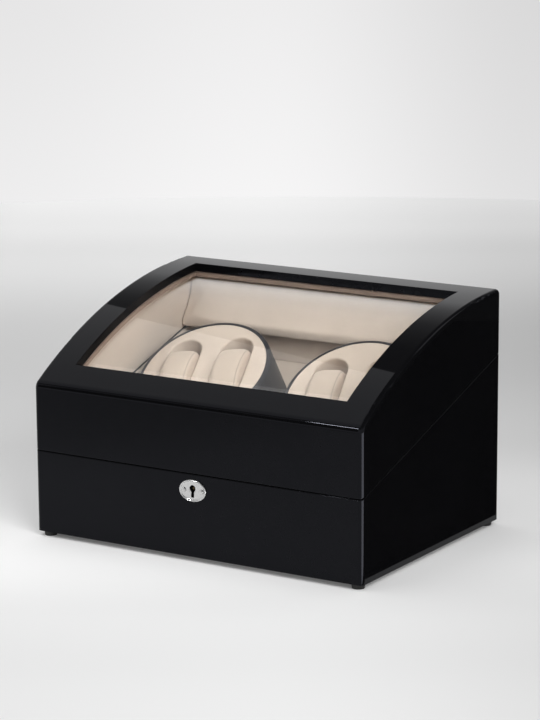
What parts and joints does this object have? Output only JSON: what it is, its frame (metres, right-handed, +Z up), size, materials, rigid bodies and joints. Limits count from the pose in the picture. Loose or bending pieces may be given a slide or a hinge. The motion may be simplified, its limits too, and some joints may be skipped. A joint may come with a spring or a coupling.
{
  "type": "watch winder box",
  "caption": "Lacquered watch winder box with a sloping curved glass lid over turning drums that carry padded watch pillows, with a front lock and rear controls.",
  "frame": {"origin": "on the floor under the middle of the bounding box", "axes": "+X to the right as seen from the front, +Y to the back, +Z up"},
  "size_m": [0.35, 0.2632, 0.2254],
  "materials": {
    "lacquer": "black piano lacquer, polished",
    "lid_glass": "clear float glass",
    "brown_wood": "satin brown",
    "cream_velvet": "short cream velvet",
    "pillow_velvet": "soft cream velvet over foam",
    "black_plastic": "moulded, semi gloss",
    "matte_black_plastic": "moulded, fine texture",
    "foot_rubber": "black rubber",
    "plain_board": "dark painted board",
    "raw_wood": "planed softwood",
    "felt": "black felt",
    "nickel": "polished nickel",
    "brass": "satin brass",
    "steel": "brushed steel",
    "nylon": "natural nylon",
    "circuit_green": "solder-masked board",
    "lead_sleeve": "black sleeved wire"
  },
  "bodies": {
    "case": {"base_back_lining": "cream_velvet", "base_case": "lacquer", "base_front_lining": "cream_velvet", "base_side_linings": "cream_velvet", "bottom_panel": "plain_board", "bottom_screws": "steel", "control_board": "circuit_green", "control_plate": "matte_black_plastic", "control_plate_screws": "steel", "deck_cleats": "raw_wood", "deck_panel": "cream_velvet", "drive_screws": "steel", "drum_bushes": "brass", "escutcheon": "nickel", "escutcheon_screws": "nickel", "feet": "foot_rubber", "floor_lining": "cream_velvet", "foot_screws": "steel", "hinge_base_leaves": "brass", "hinge_base_screws": "steel", "hinge_pins": "brass", "left_motor": "steel", "lid_rest_pads": "felt", "lock_case": "brass", "mode_switches": "matte_black_plastic", "motor_leads": "lead_sleeve", "motor_plates": "steel", "motor_posts": "brass", "power_inlet": "matte_black_plastic", "right_motor": "steel", "rocker_housing": "matte_black_plastic"},
    "lid": {"lid_frame": "lacquer", "glass_pane": "lid_glass", "glass_retainer": "brown_wood", "lid_side_linings": "cream_velvet", "lid_front_lining": "cream_velvet", "lid_back_lining": "cream_velvet", "strike_plate": "brass", "strike_screws": "steel", "hinge_lid_leaves": "brass", "hinge_lid_screws": "steel"},
    "lock_bolt": {"lock_bolt": "brass"},
    "left_mode_knob": {"left_mode_knob": "matte_black_plastic"},
    "right_mode_knob": {"right_mode_knob": "matte_black_plastic"},
    "power_rocker": {"power_rocker": "black_plastic"},
    "left_drum": {"left_drum_cup": "black_plastic", "left_drum_face": "cream_velvet", "left_spindle": "steel", "left_drive_gear": "nylon"},
    "left_motor_pinion": {"left_motor_pinion": "steel"},
    "left_drum_left_pillow": {"left_drum_left_pillow": "pillow_velvet"},
    "left_drum_right_pillow": {"left_drum_right_pillow": "pillow_velvet"},
    "right_drum": {"right_drum_cup": "black_plastic", "right_drum_face": "cream_velvet", "right_spindle": "steel", "right_drive_gear": "nylon"},
    "right_motor_pinion": {"right_motor_pinion": "steel"},
    "right_drum_left_pillow": {"right_drum_left_pillow": "pillow_velvet"},
    "right_drum_right_pillow": {"right_drum_right_pillow": "pillow_velvet"}
  },
  "joints": [
    {"name": "lid_hinge", "type": "hinge", "parent": "case", "child": "lid", "pos_m": [0, 0.12855, 0.16628], "axis": [-1, 0, 0], "range_deg": [0, 95]},
    {"name": "left_drum_spin", "type": "hinge", "parent": "case", "child": "left_drum", "pos_m": [-0.081, 0.01155, 0.139], "axis": [0, -0.5592, 0.829], "continuous": true},
    {"name": "left_pinion_spin", "type": "hinge", "parent": "case", "child": "left_motor_pinion", "pos_m": [-0.05095, 0.01155, 0.139], "axis": [0, -0.5592, 0.829], "continuous": true},
    {"name": "left_drum_left_pillow_lift", "type": "slide", "parent": "left_drum", "child": "left_drum_left_pillow", "axis": [0, -0.5592, 0.829], "range_m": [0, 0.036]},
    {"name": "left_drum_right_pillow_lift", "type": "slide", "parent": "left_drum", "child": "left_drum_right_pillow", "axis": [0, -0.5592, 0.829], "range_m": [0, 0.036]},
    {"name": "right_drum_spin", "type": "hinge", "parent": "case", "child": "right_drum", "pos_m": [0.081, 0.01155, 0.139], "axis": [0, -0.5592, 0.829], "continuous": true},
    {"name": "right_pinion_spin", "type": "hinge", "parent": "case", "child": "right_motor_pinion", "pos_m": [0.05095, 0.01155, 0.139], "axis": [0, -0.5592, 0.829], "continuous": true},
    {"name": "right_drum_left_pillow_lift", "type": "slide", "parent": "right_drum", "child": "right_drum_left_pillow", "axis": [0, -0.5592, 0.829], "range_m": [0, 0.036]},
    {"name": "right_drum_right_pillow_lift", "type": "slide", "parent": "right_drum", "child": "right_drum_right_pillow", "axis": [0, -0.5592, 0.829], "range_m": [0, 0.036]},
    {"name": "lock_bolt_slide", "type": "slide", "parent": "case", "child": "lock_bolt", "axis": [1, 0, 0], "range_m": [0, 0.005]},
    {"name": "left_mode_knob_turn", "type": "hinge", "parent": "case", "child": "left_mode_knob", "pos_m": [-0.018, 0.12555, 0.039], "axis": [0, -1, 0], "range_deg": [-60, 60]},
    {"name": "right_mode_knob_turn", "type": "hinge", "parent": "case", "child": "right_mode_knob", "pos_m": [0.018, 0.12555, 0.039], "axis": [0, -1, 0], "range_deg": [-60, 60]},
    {"name": "power_rocker_tip", "type": "hinge", "parent": "case", "child": "power_rocker", "pos_m": [-0.042, 0.12255, 0.039], "axis": [1, 0, 0], "range_deg": [0, 18]}
  ],
  "couplings": [
    {"joint": "left_pinion_spin", "follows": "left_drum_spin", "ratio": -4},
    {"joint": "right_pinion_spin", "follows": "right_drum_spin", "ratio": -4}
  ]
}
